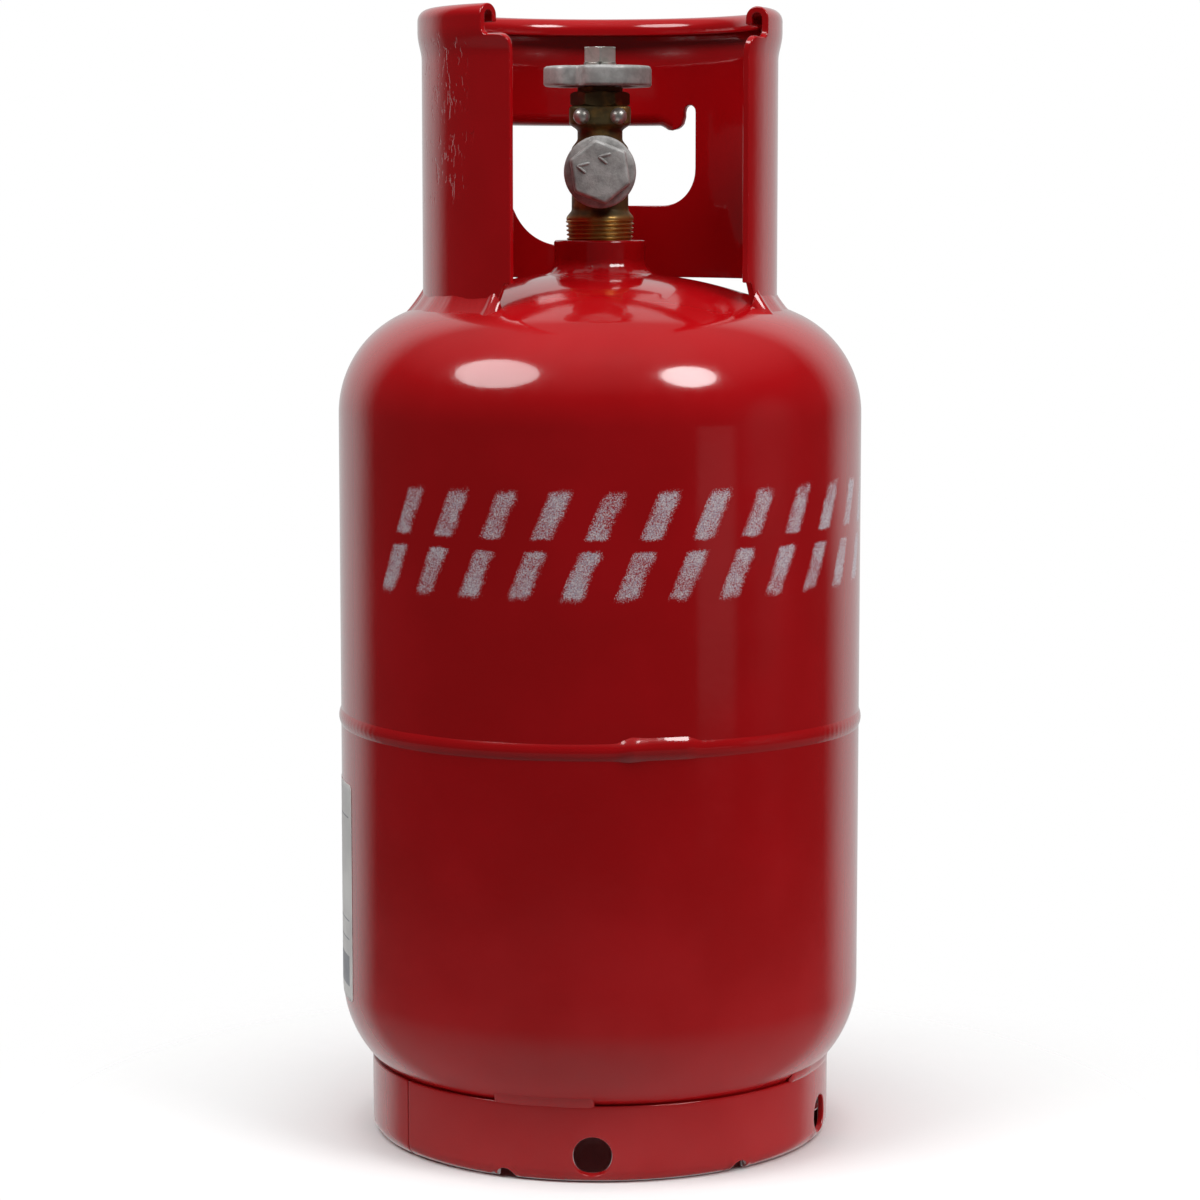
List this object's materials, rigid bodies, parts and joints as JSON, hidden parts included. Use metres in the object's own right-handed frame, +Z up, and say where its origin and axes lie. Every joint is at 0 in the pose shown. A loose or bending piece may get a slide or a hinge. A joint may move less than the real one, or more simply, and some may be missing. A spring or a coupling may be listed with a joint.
{
  "type": "portable gas cylinder",
  "caption": "Steel gas cylinder with a foot ring, an open handle collar with a grip window, and a brass handwheel valve whose outlet is closed by a hexagon plug.",
  "frame": {"origin": "on the floor under the cylinder's axis, at the centre of the foot ring's landing", "axes": "+Z up along the cylinder's axis, -Y along the valve's outlet"},
  "size_m": [0.2238, 0.225, 0.478],
  "materials": {
    "red_paint": "gloss enamel",
    "label_film": "satin",
    "brass": "dull, machined",
    "nylon": "matte",
    "rubber": "matte",
    "plated_steel": "zinc plated",
    "cast_aluminium": "as cast",
    "cast_plug": "die cast, matte"
  },
  "bodies": {
    "tank": {"upper_shell": "red_paint", "lower_shell": "red_paint", "seam_weld": "red_paint", "neck_boss": "red_paint", "neck_weld": "red_paint", "collar": "red_paint", "collar_welds": "red_paint", "foot_ring": "red_paint", "foot_ring_welds": "red_paint", "label": "label_film", "valve_body": "brass", "bonnet": "brass", "bonnet_gasket": "nylon", "locking_pins": "plated_steel", "spindle_o_ring": "rubber", "spindle_washer": "nylon"},
    "wheel_and_spindle": {"spindle": "plated_steel", "handwheel": "cast_aluminium", "spring_washer": "plated_steel", "handwheel_nut": "plated_steel"},
    "clack": {"valve_clack": "brass", "clack_seal": "nylon"},
    "gasket": {"plug_gasket": "rubber"},
    "disc": {"plug_disc": "plated_steel"},
    "plug": {"outlet_plug": "cast_plug"}
  },
  "joints": [
    {"name": "handwheel_turn", "type": "hinge", "parent": "tank", "child": "wheel_and_spindle", "pos_m": [0, 0, 0.4], "axis": [0, 0, 1], "range_deg": [0, 810]},
    {"name": "clack_lift", "type": "slide", "parent": "wheel_and_spindle", "child": "clack", "axis": [0, 0, 1], "range_m": [0, 0.00337]},
    {"name": "plug_pull", "type": "slide", "parent": "tank", "child": "gasket", "axis": [0, -1, 0], "range_m": [0, 0.1]},
    {"name": "plug_travel", "type": "slide", "parent": "gasket", "child": "disc", "axis": [0, -1, 0], "range_m": [0, 0.0127]},
    {"name": "plug_turn", "type": "hinge", "parent": "disc", "child": "plug", "pos_m": [0, -0.02, 0.4104], "axis": [0, 1, 0], "range_deg": [0, 2520]}
  ],
  "couplings": [
    {"joint": "clack_lift", "follows": "handwheel_turn", "m_per_rad": 0.00023873},
    {"joint": "plug_travel", "follows": "plug_turn", "m_per_rad": 0.00028871}
  ]
}
